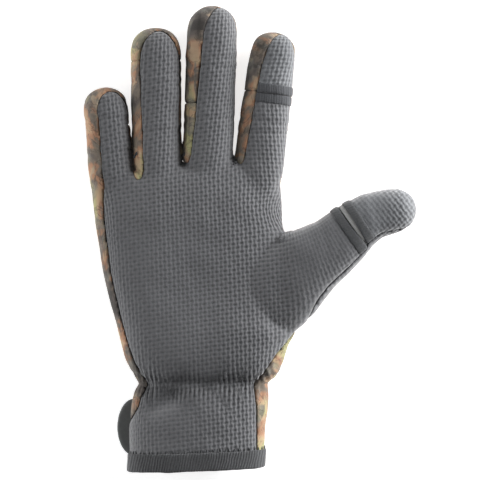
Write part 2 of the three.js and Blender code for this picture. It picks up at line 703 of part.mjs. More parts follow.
// The strap, with a rounded pull end and a sewn end folded double
const strapMiddle = HEM_Y + STRAP_RISE;
const strapLeft = STRAP_SPAN.left * PALM_WIDTH;
const strapRight = STRAP_SPAN.right * PALM_WIDTH;
function strapShape() {
  const shape = new THREE.Shape();
  const half = STRAP_WIDTH / 2;
  shape.moveTo(strapRight, -half);
  shape.lineTo(strapRight, half);
  shape.lineTo(strapLeft, half);
  shape.absellipse(strapLeft, 0, STRAP_END, half, Math.PI / 2, (3 * Math.PI) / 2, false);
  shape.closePath();
  return shape;
}
const strapBand = new THREE.ExtrudeGeometry(strapShape(), {
  depth: STRAP_THICKNESS,
  bevelEnabled: false,
  curveSegments: 18,
});
strapBand.translate(0, strapMiddle, 0);
const foldHeight = CUFF_LIFT - SEAM_GAP;
const foldLow = HEM_Y + HEM_WIDTH + Math.tan(radians(HEM_SLANT)) * strapRight + STRAP_CLEARANCE;
const strap = solidOf(strapBand).add(
  boxAt(
    { x: strapRight - STRAP_FOLD / 2, y: strapMiddle, z: foldHeight / 2 },
    { x: STRAP_FOLD, y: 2 * (strapMiddle - foldLow), z: foldHeight },
  ),
);
const patchLeft = lerp(strapLeft, strapRight, PATCH.left);
const patchRight = lerp(strapLeft, strapRight, PATCH.right);
const patch = boxAt(
  { x: (patchLeft + patchRight) / 2, y: strapMiddle, z: STRAP_THICKNESS + SEAM_GAP + PATCH.thickness / 2 },
  { x: patchRight - patchLeft, y: STRAP_WIDTH - 2 * PATCH.margin, z: PATCH.thickness },
);

// Finishes
function cloth(color, roughness) {
  return new THREE.MeshStandardMaterial({ color, roughness, metalness: 0 });
}
const GRIP = cloth(0x5f6064, 0.85);
const PRINT = cloth(0x8a7566, 0.9);
const TAPE = cloth(0x35363a, 0.9);
const STRAP = cloth(0x303334, 0.8);
const FACING = cloth(0x8c8c8e, 0.9);

const glove = new THREE.Group();
function place(name, solid, material) {
  const mesh = new THREE.Mesh(geometryOf(solid), material);
  mesh.name = name;
  glove.add(mesh);
}
place("palm_panel", palmPanel, GRIP);
place("index_cap", mainBody(indexTip.cap), GRIP);
place("thumb_cap", mainBody(thumbTip.cap), GRIP);
place("back_panel", backPanel, PRINT);
for (const [name, solid] of Object.entries(sidewalls)) place(name, solid, PRINT);
place("index_cap_hem", mainBody(indexTip.capHem), TAPE);
place("index_slit_hem", mainBody(indexTip.slitHem), TAPE);
place("thumb_cap_hem", mainBody(thumbTip.capHem), TAPE);
place("thumb_slit_hem", mainBody(thumbTip.slitHem), TAPE);
place("thumb_slit_facing", mainBody(facing), FACING);
place("hem_binding", mainBody(binding), TAPE);
place("wrist_strap", strap, STRAP);
place("hook_patch", patch, STRAP);

export default glove;
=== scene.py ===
# %% [markdown]
# # A fishing glove of thin foam cloth
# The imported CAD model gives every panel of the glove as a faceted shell. This lesson turns each
# panel into cloth: it keeps the panel's place and size, rounds its facets away, folds and gathers
# it where the real one is gathered, and gives it a finish made of shader nodes.
# Lengths on the glove are millimetres, as on a pattern sheet, and MM turns them into metres. Only
# the camera, the lights, the floor and the grain of a finish are given in metres.

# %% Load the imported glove
import math
import random

import bmesh
import bpy
import numpy as np
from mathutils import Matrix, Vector
from mathutils.kdtree import KDTree


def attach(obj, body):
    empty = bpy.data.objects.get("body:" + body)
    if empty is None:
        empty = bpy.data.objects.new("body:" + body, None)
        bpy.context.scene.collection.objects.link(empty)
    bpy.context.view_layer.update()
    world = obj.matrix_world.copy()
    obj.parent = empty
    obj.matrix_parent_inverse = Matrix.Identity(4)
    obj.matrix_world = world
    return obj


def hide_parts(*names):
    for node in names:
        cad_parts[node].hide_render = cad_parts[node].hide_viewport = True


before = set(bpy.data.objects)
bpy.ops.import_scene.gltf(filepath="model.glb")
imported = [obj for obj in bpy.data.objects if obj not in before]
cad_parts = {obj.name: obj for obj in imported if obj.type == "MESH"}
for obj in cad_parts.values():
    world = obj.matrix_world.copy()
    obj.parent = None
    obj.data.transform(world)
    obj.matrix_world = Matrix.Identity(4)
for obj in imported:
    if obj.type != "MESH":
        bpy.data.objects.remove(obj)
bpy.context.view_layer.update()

MM = 0.001
print("CAD nodes:", sorted(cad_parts))

# %% [markdown]
# ## The camera and the table
# The glove lies on its back and is seen from straight above, so the camera looks down along -Z.
# It could stand close with a wide lens, but the fingers would then lean outwards: a long lens from
# far away keeps them as straight as on a pattern sheet.

# %% Camera and floor
SENSOR = 36.0
CAMERA_PLACE = (0.0269, 0.0054, 1.4)
VIEW_DEPTH = 1.384  # from the camera down to the glove's edge, in metres
HALF_VIEW = 0.129  # half of the width that is seen there, in metres
FLOOR_SIZE = 4.0
FLOOR_DROP = 0.0002  # the floor lies this far under the glove

camera_data = bpy.data.cameras.new("overhead_camera")
camera_data.sensor_width = SENSOR
camera_data.lens = SENSOR / 2 * VIEW_DEPTH / HALF_VIEW
camera = bpy.data.objects.new("overhead_camera", camera_data)
camera.location = CAMERA_PLACE
bpy.context.scene.collection.objects.link(camera)
bpy.context.scene.camera = camera


def nothing_selected():
    if bpy.context.mode != "OBJECT":
        bpy.ops.object.mode_set(mode="OBJECT")
    bpy.ops.object.select_all(action="DESELECT")


def only(piece):
    nothing_selected()
    piece.select_set(True)
    bpy.context.view_layer.objects.active = piece


nothing_selected()
bpy.ops.mesh.primitive_plane_add(size=FLOOR_SIZE, location=(0, 0, -FLOOR_DROP))
floor = bpy.context.object
floor.name = "floor"
print("lens", round(camera_data.lens, 1), "mm")

# %% [markdown]
# ## The light
# Cloth shows its weave only where light grazes it. One lamp overhead would flatten it, so large
# soft lamps stand low at both sides of the table. There are two at the right, which makes the
# right flanks of the fingers and the thumb's tip the brightest parts of the grip cloth.

# %% Lights
LIGHTS = {  # name: place, target, width of the disk, power in watts
    "right_light": ((0.9, 0.3, 0.2), (0.05, 0.02, 0.01), 0.8, 9.5),
    "rim_light": ((0.5, 0.26, 0.12), (0.06, 0.03, 0.01), 0.5, 4.2),
    "left_light": ((-0.9, 0.0, 0.17), (-0.03, 0, 0.01), 0.8, 8.4),
    "top_light": ((-0.1, -0.1, 1.5), (0, 0, 0), 1.0, 0.25),
}
SKY_STRENGTH = 0.15

for name, (place, target, size, power) in LIGHTS.items():
    data = bpy.data.lights.new(name, "AREA")
    data.shape = "DISK"
    data.size = size
    data.energy = power
    lamp = bpy.data.objects.new(name, data)
    lamp.location = place
    lamp.rotation_euler = (Vector(target) - Vector(place)).to_track_quat("-Z", "Y").to_euler()
    bpy.context.scene.collection.objects.link(lamp)

world = bpy.data.worlds.new("studio")
world.use_nodes = True
world.node_tree.nodes["Background"].inputs["Color"].default_value = (1, 1, 1, 1)
world.node_tree.nodes["Background"].inputs["Strength"].default_value = SKY_STRENGTH
bpy.context.scene.world = world
bpy.context.scene.view_settings.view_transform = "Standard"
print(len(LIGHTS), "lights,", sum(row[-1] for row in LIGHTS.values()), "watts")

# %% [markdown]
# ## Shader maths as plain Python
# A finish is a small network of nodes. Wiring them by hand hides the idea behind them, so one
# class stands for a number's socket and turns + - * / into Math nodes, and one class adds any
# other node with its settings and inputs.


# %% A socket that can be calculated with
class Flow:
    """The output socket of a node in a finish."""

    def __init__(self, finish, socket):
        self.finish = finish
        self.socket = socket

    def maths(self, operation, *values):
        return self.finish.add("Math", {"operation": operation}, values)

    def __add__(self, other):
        return self.maths("ADD", self, other)

    __radd__ = __add__

    def __sub__(self, other):
        return self.maths("SUBTRACT", self, other)

    def __rsub__(self, other):
        return self.maths("SUBTRACT", other, self)

    def __mul__(self, other):
        return self.maths("MULTIPLY", self, other)

    __rmul__ = __mul__

    def __truediv__(self, other):
        return self.maths("DIVIDE", self, other)

    def cos(self):
        return self.maths("COSINE", self)

    def sin(self):
        return self.maths("SINE", self)

    def size(self):
        """The value without its sign."""
        return self.maths("ABSOLUTE", self)

    def over(self, low, high):
        """0 below low, 1 above high, and smooth between them."""
        settings = {"interpolation_type": "SMOOTHSTEP"}
        inputs = {"Value": self, "From Min": low, "From Max": high}
        return self.finish.add("MapRange", settings, inputs)


# %% A material that grows by nodes
class Finish:
    """A material and the nodes that feed its shader."""

    def __init__(self, name):
        self.material = bpy.data.materials.new(name)
        self.material.use_nodes = True
        self.tree = self.material.node_tree
        self.shader = self.tree.nodes["Principled BSDF"]

    def add(self, kind, settings=None, inputs=(), output=0):
        """Adds a shader node: its settings come first, then the values or links of its sockets."""
        node = self.tree.nodes.new("ShaderNode" + kind)
        for key, value in (settings or {}).items():
            if key == "stops":
                self.set_ramp(node.color_ramp, value)
            else:
                setattr(node, key, value)
        pairs = inputs.items() if isinstance(inputs, dict) else enumerate(inputs)
        for key, value in pairs:
            self.feed(node.inputs[key], value)
        return Flow(self, node.outputs[output])

    def set_ramp(self, ramp, stops):
        while len(ramp.elements) < len(stops):
            ramp.elements.new(1.0)
        for element, (place, colour) in zip(ramp.elements, stops):
            element.position = place
            element.color = (*colour, 1)

    def feed(self, socket, value):
        if isinstance(value, Flow):
            self.tree.links.new(value.socket, socket)
        elif isinstance(value, tuple) and len(value) == 3 and socket.type == "RGBA":
            socket.default_value = (*value, 1)
        else:
            socket.default_value = value

    def place(self):
        """The point on the piece, in metres."""
        return self.add("TexCoord", output="Object")

    def cloth_place(self):
        """The point on the cloth before it was sewn, in metres, as two numbers."""
        flat = self.add("UVMap", {"uv_map": CLOTH_MAP})
        return self.parts(flat)[:2]

    def parts(self, vector):
        node = self.tree.nodes.new("ShaderNodeSeparateXYZ")
        self.feed(node.inputs[0], vector)
        return [Flow(self, out) for out in node.outputs]

    def noise(self, place, grain, detail=2.0, roughness=0.5, warp=0.0):
        """Soft noise from 0 to 1 whose lumps are about as big as grain, in metres."""
        inputs = {
            "Vector": place,
            "Scale": 1 / grain,
            "Detail": detail,
            "Roughness": roughness,
            "Distortion": warp,
        }
        return self.add("TexNoise", inputs=inputs)

    def blend(self, share, first, second):
        """The second colour over the first, as far as share says."""
        node = self.tree.nodes.new("ShaderNodeMix")
        node.data_type = "RGBA"
        colours = [socket for socket in node.inputs if socket.type == "RGBA"]
        self.feed(node.inputs[0], share)
        self.feed(colours[0], first)
        self.feed(colours[1], second)
        return Flow(self, [out for out in node.outputs if out.type == "RGBA"][0])

    def wear(self, colour, roughness, height=None, depth=0.0002, sheen=0.0, specular=0.5):
        """Connects the finish to the shader."""
        self.feed(self.shader.inputs["Base Color"], colour)
        self.feed(self.shader.inputs["Roughness"], roughness)
        self.shader.inputs["Sheen Weight"].default_value = sheen
        self.shader.inputs["Specular IOR Level"].default_value = specular
        if height is not None:
            bump = self.add("Bump", inputs={"Height": height, "Distance": depth, "Strength": 1.0})
            self.feed(self.shader.inputs["Normal"], bump)
        return self.material


print("helpers for finishes:", Flow.__name__, "and", Finish.__name__)

# %% [markdown]
# ## The white table
# Product photographs are taken on a white sheet that is lit until it has no tone of its own. More
# light would do that here too, but it would bleach the glove. So the sheet glows a little by
# itself, and only the soft shadow beside the glove is left.

# %% The floor's finish
CLOTH_MAP = "cloth"
FLOOR_GLOW = 0.7
MOTTLE_SIZE = 0.35

paper = Finish("pale_floor")
mottle = paper.noise(paper.place(), MOTTLE_SIZE, 1.0)
pale = paper.blend(mottle, (0.86, 0.86, 0.86), (0.88, 0.88, 0.88))
floor.data.materials.append(paper.wear(pale, 0.9))
paper.shader.inputs["Emission Color"].default_value = (1, 1, 1, 1)
paper.shader.inputs["Emission Strength"].default_value = FLOOR_GLOW
print("the floor is", floor.data.materials[0].name)

# %% [markdown]
# ## The hand inside the glove
# A sewer thinks of a glove as tubes on a palm. The tubes could be measured on the meshes, point by
# point, but a short table is easier to read. It places each fold, tells the outer side of a panel
# from its lining, and lays the cloth's pattern along each finger as it was cut.

# %% The axes of the fingers, the thumb and the palm
FINGERS = {  # root x, root y, lean in degrees, length, width at the root and the tip, depth
    "little": (-41.1, 32.3, -5.5, 55.4, 24.3, 23.0, 20.5),
    "ring": (-17.5, 37.6, -0.8, 82.0, 26.0, 26.9, 22.5),
    "middle": (9.2, 40.3, 2.1, 90.8, 26.9, 26.8, 23.0),
    "index": (35.6, 35.0, 7.3, 82.7, 27.5, 23.4, 22.0),
}
TIP_LIFT = 4.0  # how far a fingertip's middle lies above its root's
THUMB = [  # x and y of the bent axis, its height, half of the width there
    (38.7, -29.6, 17.0, 22.5),
    (53.7, -16.2, 17.3, 21.5),
    (64.7, -5.5, 18.4, 19.3),
    (77.0, 2.0, 19.6, 16.0),
    (88.2, 11.7, 21.3, 14.0),
    (97.7, 18.3, 22.0, 12.3),
    (108.1, 20.9, 22.5, 11.8),
]
PALM_ROWS = [  # y, left edge, right edge, middle height
    (-118, -32.2, 38.9, 19.0),
    (-86, -31.6, 41.6, 18.5),
    (-71.7, -27.5, 41.6, 17.0),
    (-58, -34.4, 50.5, 15.5),
    (-43, -38.4, 56.0, 15.0),
    (-21, -44.4, 56.0, 14.3),
    (0, -48.4, 52.0, 13.5),
    (15, -50.8, 49.7, 12.8),
    (30, -52.6, 49.2, 11.8),
    (44, -52.8, 49.0, 11.0),
]
WRIST_Y = -71.7
print("the longest finger is", max(row[3] for row in FINGERS.values()), "mm long")


# %% Measure along the fingers
def soft_step(value, low, high):
    """0 below low, 1 above high, and smooth between them."""
    share = np.clip((value - low) / (high - low), 0, 1)
    return share * share * (3 - 2 * share)


def bell(value, width):
    return np.exp(-((value / width) ** 2))


def along_finger(points, finger):
    """Distance along a finger, distance across it, and its height and half sizes there."""
    x, y, lean, length, root, tip, depth = FINGERS[finger]
    turn = math.radians(lean)
    dx, dy = points[:, 0] - x, points[:, 1] - y
    along = dx * math.sin(turn) + dy * math.cos(turn)
    across = dx * math.cos(turn) - dy * math.sin(turn)
    share = np.clip(along / length, 0, 1)
    half = (root + (tip - root) * share) / 2
    return along, across, half, depth / 2 + TIP_LIFT * share**2, np.full(len(points), depth / 2)


# %% Measure along the thumb and over the palm
def along_thumb(points):
    """Distance along the thumb's bent axis, distance across it, and its height and half width."""
    rows = np.array(THUMB)
    axis, heights, halves = rows[:, :2], rows[:, 2], rows[:, 3]
    best = np.full(len(points), 1e9)
    result = np.zeros((4, len(points)))
    start = 0.0
    for i in range(len(axis) - 1):
        leg = axis[i + 1] - axis[i]
        length = np.linalg.norm(leg)
        unit = leg / length
        offset = points[:, :2] - axis[i]
        t = offset @ unit
        held = np.clip(t, 0, length) if i < len(axis) - 2 else np.maximum(t, 0)
        gap = np.linalg.norm(offset - held[:, None] * unit, axis=1)
        nearer = gap < best
        share = np.clip(held / length, 0, 1)
        values = [
            start + held,
            offset[:, 0] * unit[1] - offset[:, 1] * unit[0],
            heights[i] + (heights[i + 1] - heights[i]) * share,
            halves[i] + (halves[i + 1] - halves[i]) * share,
        ]
        for row, value in zip(result, values):
            row[nearer] = value[nearer]
        best = np.minimum(best, gap)
        start += length
    return result


def palm_row(y):
    """The palm's middle, half width and middle height at a distance from the origin."""
    rows = np.array(PALM_ROWS)
    left, right, height = (np.interp(y, rows[:, 0], rows[:, k]) for k in (1, 2, 3))
    return (left + right) / 2, (right - left) / 2, height


print("palm", palm_row(np.array([0.0]))[1][0] * 2, "mm wide")

# %% Tell outside from inside
PALM_INSET = 14  # from the palm's edges to its flat middle
PALM_TOP = 40


def from_inside(points):
    """The way from the nearest of the hand's axes to each point: outwards on the outer side."""
    middle, half, height = palm_row(points[:, 1])
    on_axis = np.clip(points[:, 0], middle - half + PALM_INSET, middle + half - PALM_INSET)
    centre = np.stack([on_axis, np.minimum(points[:, 1], PALM_TOP), height], 1)
    best = np.linalg.norm(points - centre, axis=1)
    for finger, (x, y, lean, length, _, tip, _) in FINGERS.items():
        along, _, _, height, _ = along_finger(points, finger)
        held = np.clip(along, 0, length - tip / 2)
        turn = math.radians(lean)
        axis = np.stack([x + math.sin(turn) * held, y + math.cos(turn) * held, height], 1)
        gap = np.linalg.norm(points - axis, axis=1)
        nearer = gap < best
        centre[nearer] = axis[nearer]
        best = np.minimum(best, gap)
    axis = np.array(THUMB)[1:, :3]
    for a, b in zip(axis, axis[1:]):
        t = np.clip((points - a) @ (b - a) / ((b - a) @ (b - a)), 0, 1)
        spot = a + t[:, None] * (b - a)
        gap = np.linalg.norm(points - spot, axis=1)
        nearer = gap < best
        centre[nearer] = spot[nearer]
        best = np.minimum(best, gap)
    return points - centre


probe = np.array([[0.0, 0.0, 30.0]])
print("a point 30 mm up is", from_inside(probe)[0][2].round(1), "mm over the palm's middle")

# %% [markdown]
# ## From a faceted shell to a sheet of foam cloth
# A panel of this glove is two or three millimetres of foam between two layers of jersey, so it
# bends in round shapes only. It could be modelled afresh by subdividing a cage, but then it might
# leave its place. So each CAD panel is copied, its loose triangles are merged, and a voxel remesh
# gives it small even faces that smoothing can round. At the cut edges the smoothing fades out, so
# that a panel still ends where its seam is.


# %% Read and move the points of a mesh
def apply_all(piece):
    only(piece)
    for modifier in list(piece.modifiers):
        bpy.ops.object.modifier_apply(modifier=modifier.name)


def points_of(piece):
    """The points of a mesh, in millimetres."""
    flat = np.empty(len(piece.data.vertices) * 3)
    piece.data.vertices.foreach_get("co", flat)
    return flat.reshape(-1, 3) / MM


def normals_of(piece):
    flat = np.empty(len(piece.data.vertices) * 3)
    piece.data.vertices.foreach_get("normal", flat)
    return flat.reshape(-1, 3)


def move_points(piece, points):
    piece.data.vertices.foreach_set("co", (points * MM).ravel())
    piece.data.update()


print("the CAD palm has", len(points_of(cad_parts["palm_panel"])), "points")


# %% Copy a panel and find its cut edges
def merged_copy(node, name):
    piece = bpy.data.objects.new(name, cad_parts[node].data.copy())
    piece.data.name = name
    piece.data.materials.clear()
    bpy.context.scene.collection.objects.link(piece)
    only(piece)
    bpy.ops.object.mode_set(mode="EDIT")
    bpy.ops.mesh.select_all(action="SELECT")
    bpy.ops.mesh.remove_doubles(threshold=1e-6)
    bpy.ops.object.mode_set(mode="OBJECT")
    return piece


def cut_edges(piece, least_turn=50, spacing=0.4):
    """Points along the sharp outward edges, where the panel was cut."""
    shape = bmesh.new()
    shape.from_mesh(piece.data)
    found = []
    for edge in shape.edges:
        if edge.is_manifold and edge.calc_face_angle_signed(0) > math.radians(least_turn):
            a, b = (np.array(v.co) / MM for v in edge.verts)
            count = max(2, int(np.linalg.norm(b - a) / spacing) + 1)
            found.extend(a + (b - a) * t for t in np.linspace(0, 1, count))
    shape.free()
    return found


WEIGHT_LEVELS = 50


def weigh(piece, name, weights):
    """A vertex group from an array: points of one level are added together, which is quick."""
    group = piece.vertex_groups.new(name=name)
    levels = np.round(weights * WEIGHT_LEVELS).astype(int)
    for level in range(1, WEIGHT_LEVELS + 1):
        members = np.nonzero(levels == level)[0].tolist()
        if members:
            group.add(members, level / WEIGHT_LEVELS, "REPLACE")


print("weights have", WEIGHT_LEVELS, "levels")


# %% Remesh and smooth a panel
def cloth_panel(node, name, voxel, rounds=45, edge_keep=0.7, edge_fade=5.0, regain=0.25, seam=0.0):
    """A rounded copy of a CAD node; from edge_keep to edge_fade off a cut, smoothing sets in."""
    piece = merged_copy(node, name)
    edges = cut_edges(piece)
    remesh = piece.modifiers.new("even_faces", "REMESH")
    remesh.mode = "VOXEL"
    remesh.voxel_size = voxel * MM
    remesh.use_smooth_shade = True
    apply_all(piece)
    tree = KDTree(len(edges))
    for i, point in enumerate(edges):
        tree.insert(point, i)
    tree.balance()
    gap = np.array([tree.find(point)[2] for point in points_of(piece)])
    weigh(piece, "away_from_cuts", soft_step(gap, edge_keep, edge_fade))
    soften = piece.modifiers.new("round_facets", "SMOOTH")
    soften.factor = 0.5
    soften.iterations = rounds
    soften.vertex_group = "away_from_cuts"
    swell = piece.modifiers.new("regain_size", "DISPLACE")
    swell.strength = regain * MM
    swell.mid_level = 0
    swell.vertex_group = "away_from_cuts"
    if seam:
        close = piece.modifiers.new("close_seams", "DISPLACE")
        close.strength = seam * MM
        close.mid_level = 0
    trim = piece.modifiers.new("soft_edges", "SMOOTH")
    trim.factor = 0.5
    trim.iterations = 3
    apply_all(piece)
    piece.vertex_groups.clear()
    print(name, len(piece.data.polygons), "faces,", len(edges), "points on its cut edges")
    return piece


def relax(piece, place, reach, rounds):
    """Smooths the cloth round one upright line, as at a crotch that a stretched cloth fills."""
    gap = np.linalg.norm(points_of(piece)[:, :2] - np.array(place), axis=1)
    weigh(piece, "near_crotch", bell(gap, reach))
    soften = piece.modifiers.new("stretch_over_crotch", "SMOOTH")
    soften.factor = 0.7
    soften.iterations = rounds
    soften.vertex_group = "near_crotch"
    apply_all(piece)
    piece.vertex_groups.clear()


# %% Make the panels
PANELS = {  # CAD node: name, voxel, slot
    "palm_panel": ("grip_palm", 0.8, "grip_cloth"),
    "index_cap": ("index_fold_back_cap", 0.5, "grip_cloth"),
    "thumb_cap": ("thumb_fold_back_cap", 0.6, "grip_cloth"),
    "back_panel": ("printed_back", 0.95, "camo_cloth"),
    "sidewall_little_ring": ("sidewall_of_little_and_ring", 0.5, "camo_cloth"),
    "sidewall_ring_middle": ("sidewall_of_ring_and_middle", 0.5, "camo_cloth"),
    "sidewall_middle_index": ("sidewall_of_middle_and_index", 0.5, "camo_cloth"),
}
SEAM_CLOSING = {"camo_cloth": 0.26, "grip_cloth": 0.12}  # swelling that narrows the seam gaps
THUMB_CROTCH = (52.0, 10.5)
panels = {
    node: cloth_panel(node, name, voxel, seam=SEAM_CLOSING[slot])
    for node, (name, voxel, slot) in PANELS.items()
}
for node in ("palm_panel", "back_panel"):
    relax(panels[node], THUMB_CROTCH, reach=8.0, rounds=70)

# %% [markdown]
# ## Gathers, folds and creases
# An elastic thread is sewn across the wrist, so the cloth above and below it stands in small
# upright pleats. A slack dent lies below it, the palm creases where the thumb starts, and the
# fingers have faint wrinkles at their joints. A cloth simulation could fold the glove, but not in
# these places. So the folds are pushed into the surface along its normals, as a sculptor would,
# and a panel and its neighbour get the same push so that they still meet.


# %% Unevenness and long folds
def ripple(points, seed, size, waves=14):
    """Smooth uneven noise, the same at the same place whatever the panel."""
    source = random.Random(seed)
    total = np.zeros(len(points))
    for _ in range(waves):
        direction = np.array([source.gauss(0, 1) for _ in range(3)])
        direction /= np.linalg.norm(direction)
        phase = source.uniform(0, 2 * math.pi)
        stretch = source.uniform(0.7, 1.6) / size
        total += np.sin(points @ direction * stretch * 2 * math.pi + phase)
    return total / math.sqrt(waves)


def fold_line(points, start, end, width):
    """1 along a line from start to end, fading at its sides and ends."""
    a, b = np.array(start), np.array(end)
    length = np.linalg.norm(b - a)
    unit = (b - a) / length
    offset = points[:, :2] - a
    t = offset @ unit
    side = offset[:, 0] * unit[1] - offset[:, 1] * unit[0]
    fade = soft_step(t, 0, length * 0.3) * soft_step(-t, -length, -length * 0.7)
    return bell(side, width) * fade


DENTS = {  # start, end, width and depth of a long fold on the palm's side
    "below_the_wrist": ((-27.0, -87.5), (-1.5, -74.5), 4.8, 3.0),
    "beside_the_thumb": ((50.5, 16), (47.0, -40), 4.2, 0.8),
}
print("long folds:", ", ".join(DENTS))

# %% The gathers at the wrist
PLEAT_PITCH = 2.5
PLEAT_DEPTH = 0.5
PLEAT_REACH = (7.5, 9.5)  # above and below the elastic
PLEAT_START = 2.2  # from the elastic, which holds the cloth flat
ELASTIC_DEPTH = 0.55
ELASTIC_WIDTH = 3.0
ROLLS = [(0.35, 6.5), (0.2, -7)]  # height of the slack rolls and their place above the elastic
ROLL_WIDTH = 3.5


def gathers(points):
    """Pleats that wander a little, the groove under the elastic and a soft roll on either side."""
    x, y, z = points.T
    wander = 1.6 * np.sin(x / 9.0) + 1.1 * np.sin(x / 5.3 + 1)
    phase = 2 * math.pi * (x + wander * 0.4 + 0.35 * z) / PLEAT_PITCH
    from_wrist = y - WRIST_Y
    reach = np.where(from_wrist > 0, *PLEAT_REACH) * (1 + 0.35 * np.sin(x / 3.7 + 2))
    off_elastic = soft_step(np.abs(from_wrist), 0, PLEAT_START)
    push = PLEAT_DEPTH * np.cos(phase) * bell(from_wrist, reach) * off_elastic
    push -= ELASTIC_DEPTH * bell(from_wrist, ELASTIC_WIDTH)
    push += sum(height * bell(from_wrist - place, ROLL_WIDTH) for height, place in ROLLS)
    return push


print("pleats every", PLEAT_PITCH, "mm")

# %% Add the wrinkles and push
WRINKLES = {  # distances from a finger's root
    "little": [20, 38],
    "ring": [26, 52, 56],
    "middle": [30, 58, 62],
    "index": [28, 34],
}
WRINKLE_DEPTH = 0.3
WRINKLE_ROLL = 0.15  # height of the cloth that is pushed up beside a wrinkle
FRONT = (14, 20)  # heights between which the long folds set in
UNEVEN = [(0.16, 5, 26.0), (0.06, 9, 9.0)]  # height, seed and size of the ripples


def folds(points):
    """How far the cloth is pushed out at each point, in millimetres."""
    push = gathers(points)
    front = soft_step(points[:, 2], *FRONT)
    for start, end, width, depth in DENTS.values():
        push -= depth * fold_line(points, start, end, width) * front
    for finger, places in WRINKLES.items():
        along, across, half, _, _ = along_finger(points, finger)
        near = soft_step(-np.abs(across), -half - 3, -half + 1)
        for k, place in enumerate(places):
            bent = along - place - 0.06 * across * (-1) ** k
            push -= WRINKLE_DEPTH * bell(bent, 1.3) * near
            push += WRINKLE_ROLL * bell(bent - 3.2, 2.0) * near
    push += sum(height * ripple(points, seed, size) for height, seed, size in UNEVEN)
    return push


def push_folds(piece):
    """The lining moves with the outer side, and nothing sinks under the table."""
    points, normals = points_of(piece), normals_of(piece)
    outward = np.sign((normals * from_inside(points)).sum(1))
    moved = points + normals * (folds(points) * outward)[:, None]
    moved[:, 2] = np.maximum(moved[:, 2], 0)
    move_points(piece, moved)


for piece in panels.values():
    push_folds(piece)
print("folds reach", round(float(np.abs(folds(points_of(panels["palm_panel"]))).max()), 2), "mm")

# %% [markdown]
# ## Laying the pattern along the cloth
# The grip side is knitted with small pits in rows. On the real glove the rows run across the palm,
# up each finger, and round into the thumb. An automatic unwrap would cut them at every island. So
# each panel gets a map of where its cloth lay before it was sewn: straight over the palm, turned
# with each finger, and swung round a point above the crotch of the thumb.


# %% Lay the cloth over the palm
EDGE_ARC = 0.1  # how much longer the cloth is than the palm is wide, near its edges
TUBE_SLACK = 1.03


def round_tube(across, rise, half, depth):
    """The distance over a tube's skin from its top line."""
    reach = np.clip(np.hypot(across / half, rise / depth), 0, 1)
    angle = np.arctan2(rise / depth, across / half)
    angle = np.where(angle < -math.pi / 2, angle + 2 * math.pi, angle)
    return (math.pi / 2 - angle) * half * TUBE_SLACK * reach


def palm_cloth(points):
    x, y, z = points.T
    middle, half, height = palm_row(y)
    share = np.clip((x - middle) / half, -1.1, 1.1)
    side = np.sign(share) * soft_step(np.abs(share), 0.7, 0.9)
    down = np.maximum(height + 10 - z, 0) * side
    over_edge = middle + half * (share + EDGE_ARC * share**5) + down
    beside_thumb = soft_step(x, middle, middle + 5) * soft_step(y, -62, -45) * soft_step(-y, -24, -8)
    over_edge += (x - over_edge) * np.maximum(beside_thumb, soft_step(y, 20, 40))
    return np.stack([over_edge, y], 1)


print("cloth over the palm's edge:", palm_cloth(np.array([[45.0, 0.0, 12.0]]))[0].round(1))

# %% Swing it into the thumb
THUMB_PIVOT = (49.0, 60.0)
THUMB_RADIUS = 74.0
THUMB_SWING = math.radians(36)
THUMB_DEPTH = 12.5  # half of the thumb's thickness


def thumb_cloth(points):
    x, y, z = points.T
    dx, dy = x - THUMB_PIVOT[0], y - THUMB_PIVOT[1]
    swing = np.clip(np.arctan2(dx, -dy), 0, THUMB_SWING)
    beyond = np.maximum(dx * math.cos(THUMB_SWING) + dy * math.sin(THUMB_SWING), 0)
    beyond = np.where(np.arctan2(dx, -dy) > THUMB_SWING, beyond, 0)
    radius = dx * np.sin(swing) - dy * np.cos(swing)
    outwards = THUMB_PIVOT[0] + THUMB_RADIUS * swing + beyond
    turned = np.stack([outwards, THUMB_PIVOT[1] - radius], 1)
    along, across, thumb_z, thumb_half = along_thumb(points)
    over = round_tube(across, z - thumb_z, thumb_half, np.full(len(z), THUMB_DEPTH))
    turned[:, 1] -= (over - across) * 0.6 * soft_step(along, 32, 56)
    return turned


print("cloth at the thumb's root:", thumb_cloth(np.array([[64.7, -5.5, 30.0]]))[0].round(1))

# %% Turn it up each finger
CLOTH_LEAN = {"little": -0.05, "ring": -0.1, "middle": -0.11, "index": 0.18}  # as slopes
CAP_LEAN = -0.15
NEAREST_FINGER = 10.5  # how quickly a finger's cloth gives way to its neighbour's


def finger_cloth(points, lean):
    """Where the cloth lay along the fingers, and how far it follows them rather than the palm."""
    total = np.zeros((len(points), 2))
    weight, reach = np.zeros(len(points)), np.zeros(len(points))
    for finger, (root_x, root_y, _, length, _, tip, _) in FINGERS.items():
        along, across, half, height, depth = along_finger(points, finger)
        shoulder = length - tip / 2
        over_tip = np.arcsin(np.clip((along - shoulder) / (tip / 2), 0, 1)) * tip / 2
        laid = np.where(along > shoulder, shoulder + over_tip, along)
        over = round_tube(across, points[:, 2] - height, half, depth)
        over = across + (over - across) * soft_step(along, 0, 32)
        share = bell(across, NEAREST_FINGER) + 1e-9
        sheared = over + lean[finger] * np.maximum(along, 0)
        local = np.stack([root_x + sheared, root_y + laid], 1)
        total += local * share[:, None]
        weight += share
        reach = np.maximum(reach, soft_step(along, -24, 14) * soft_step(-np.abs(across), -26, -15))
    return total / weight[:, None], reach


def cloth_coordinates(points, lean):
    x, y, _ = points.T
    flat = palm_cloth(points)
    below_index = np.maximum(soft_step(-y, -40, -22), soft_step(x, 58, 64))
    share = soft_step(x, 49, 53) * soft_step(y, -58, -20) * below_index
    flat += (thumb_cloth(points) - flat) * share[:, None]
    fingers, reach = finger_cloth(points, lean)
    return flat + (fingers - flat) * reach[:, None]


